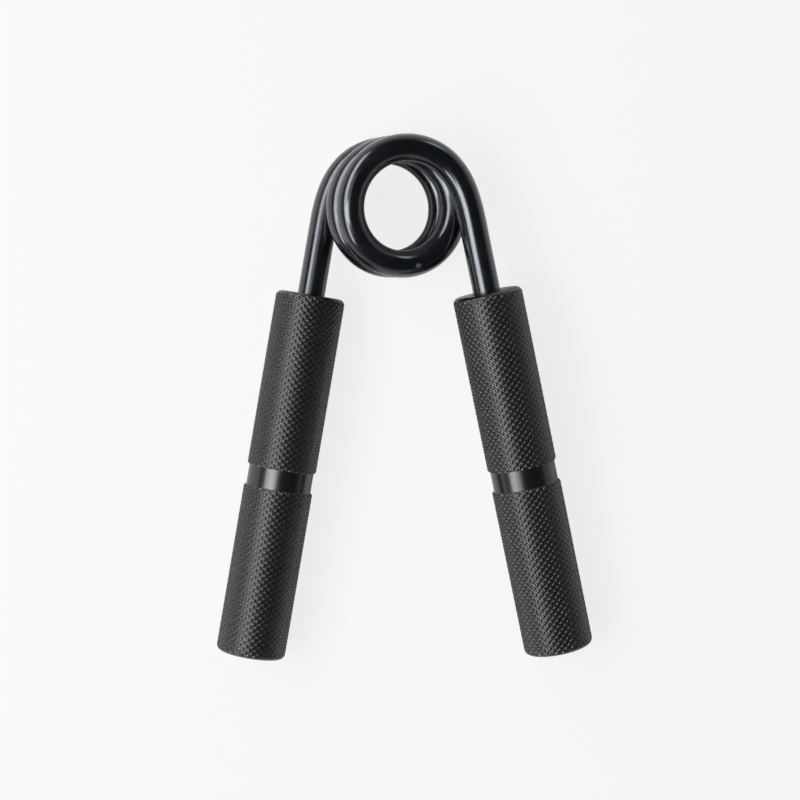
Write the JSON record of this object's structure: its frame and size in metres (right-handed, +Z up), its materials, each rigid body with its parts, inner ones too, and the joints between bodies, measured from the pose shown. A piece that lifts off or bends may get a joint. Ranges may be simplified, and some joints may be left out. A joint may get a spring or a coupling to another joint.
{
  "type": "hand gripper",
  "caption": "Hand gripper with a heavy coiled torsion spring and knurled, grooved bar handles, lying at rest.",
  "frame": {"origin": "middle of the bottom of the box round the gripper as it lies on a level surface", "axes": "+Z up off the surface, +Y from the handles' free ends towards the coil, +X towards the handle on the near leg"},
  "size_m": [0.1194, 0.1654, 0.035],
  "materials": {
    "spring_steel": "gloss black oxide and lacquer on round spring steel wire",
    "handle_bar": "black anodised, diamond knurled, with a turned groove"
  },
  "bodies": {
    "left_arm": {"left_handle": "handle_bar", "torsion_spring": "spring_steel"},
    "right_arm": {"right_handle": "handle_bar"}
  },
  "joints": [
    {"name": "squeeze", "type": "hinge", "parent": "left_arm", "child": "right_arm", "pos_m": [0, 0.06003, 0.0173], "axis": [-0.3382, 0.0428, -0.9401], "range_deg": [0, 27.9], "stiffness_Nm_per_rad": 188, "deforming": ["torsion_spring"]}
  ]
}
